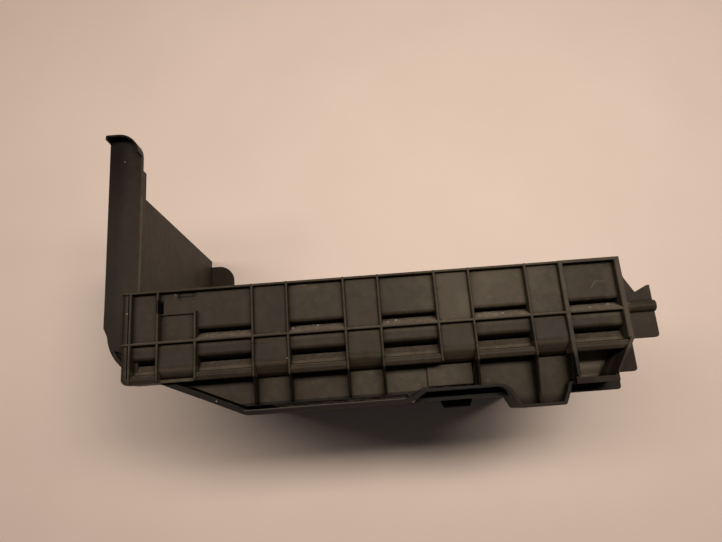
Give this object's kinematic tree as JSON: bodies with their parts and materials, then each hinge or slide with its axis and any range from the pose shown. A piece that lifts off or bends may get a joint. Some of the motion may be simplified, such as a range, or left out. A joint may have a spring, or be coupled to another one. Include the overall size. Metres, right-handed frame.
{
  "type": "moulded plastic housing",
  "caption": "Injection moulded black plastic housing: a deep open-backed duct behind a ribbed, louvred front, with a side column, an arm and a notched edge.",
  "frame": {"origin": "middle of the housing's outline seen from the front, on the plane that its rear edges stand on", "axes": "+X along the length of the ribbed front, away from the side column; +Y from the underside towards the arm; +Z out of the ribbed front"},
  "size_m": [0.327, 0.1868, 0.163],
  "materials": {
    "black_plastic": "satin, lightly dusty"
  },
  "bodies": {
    "root": {"housing": "black_plastic"}
  },
  "joints": []
}
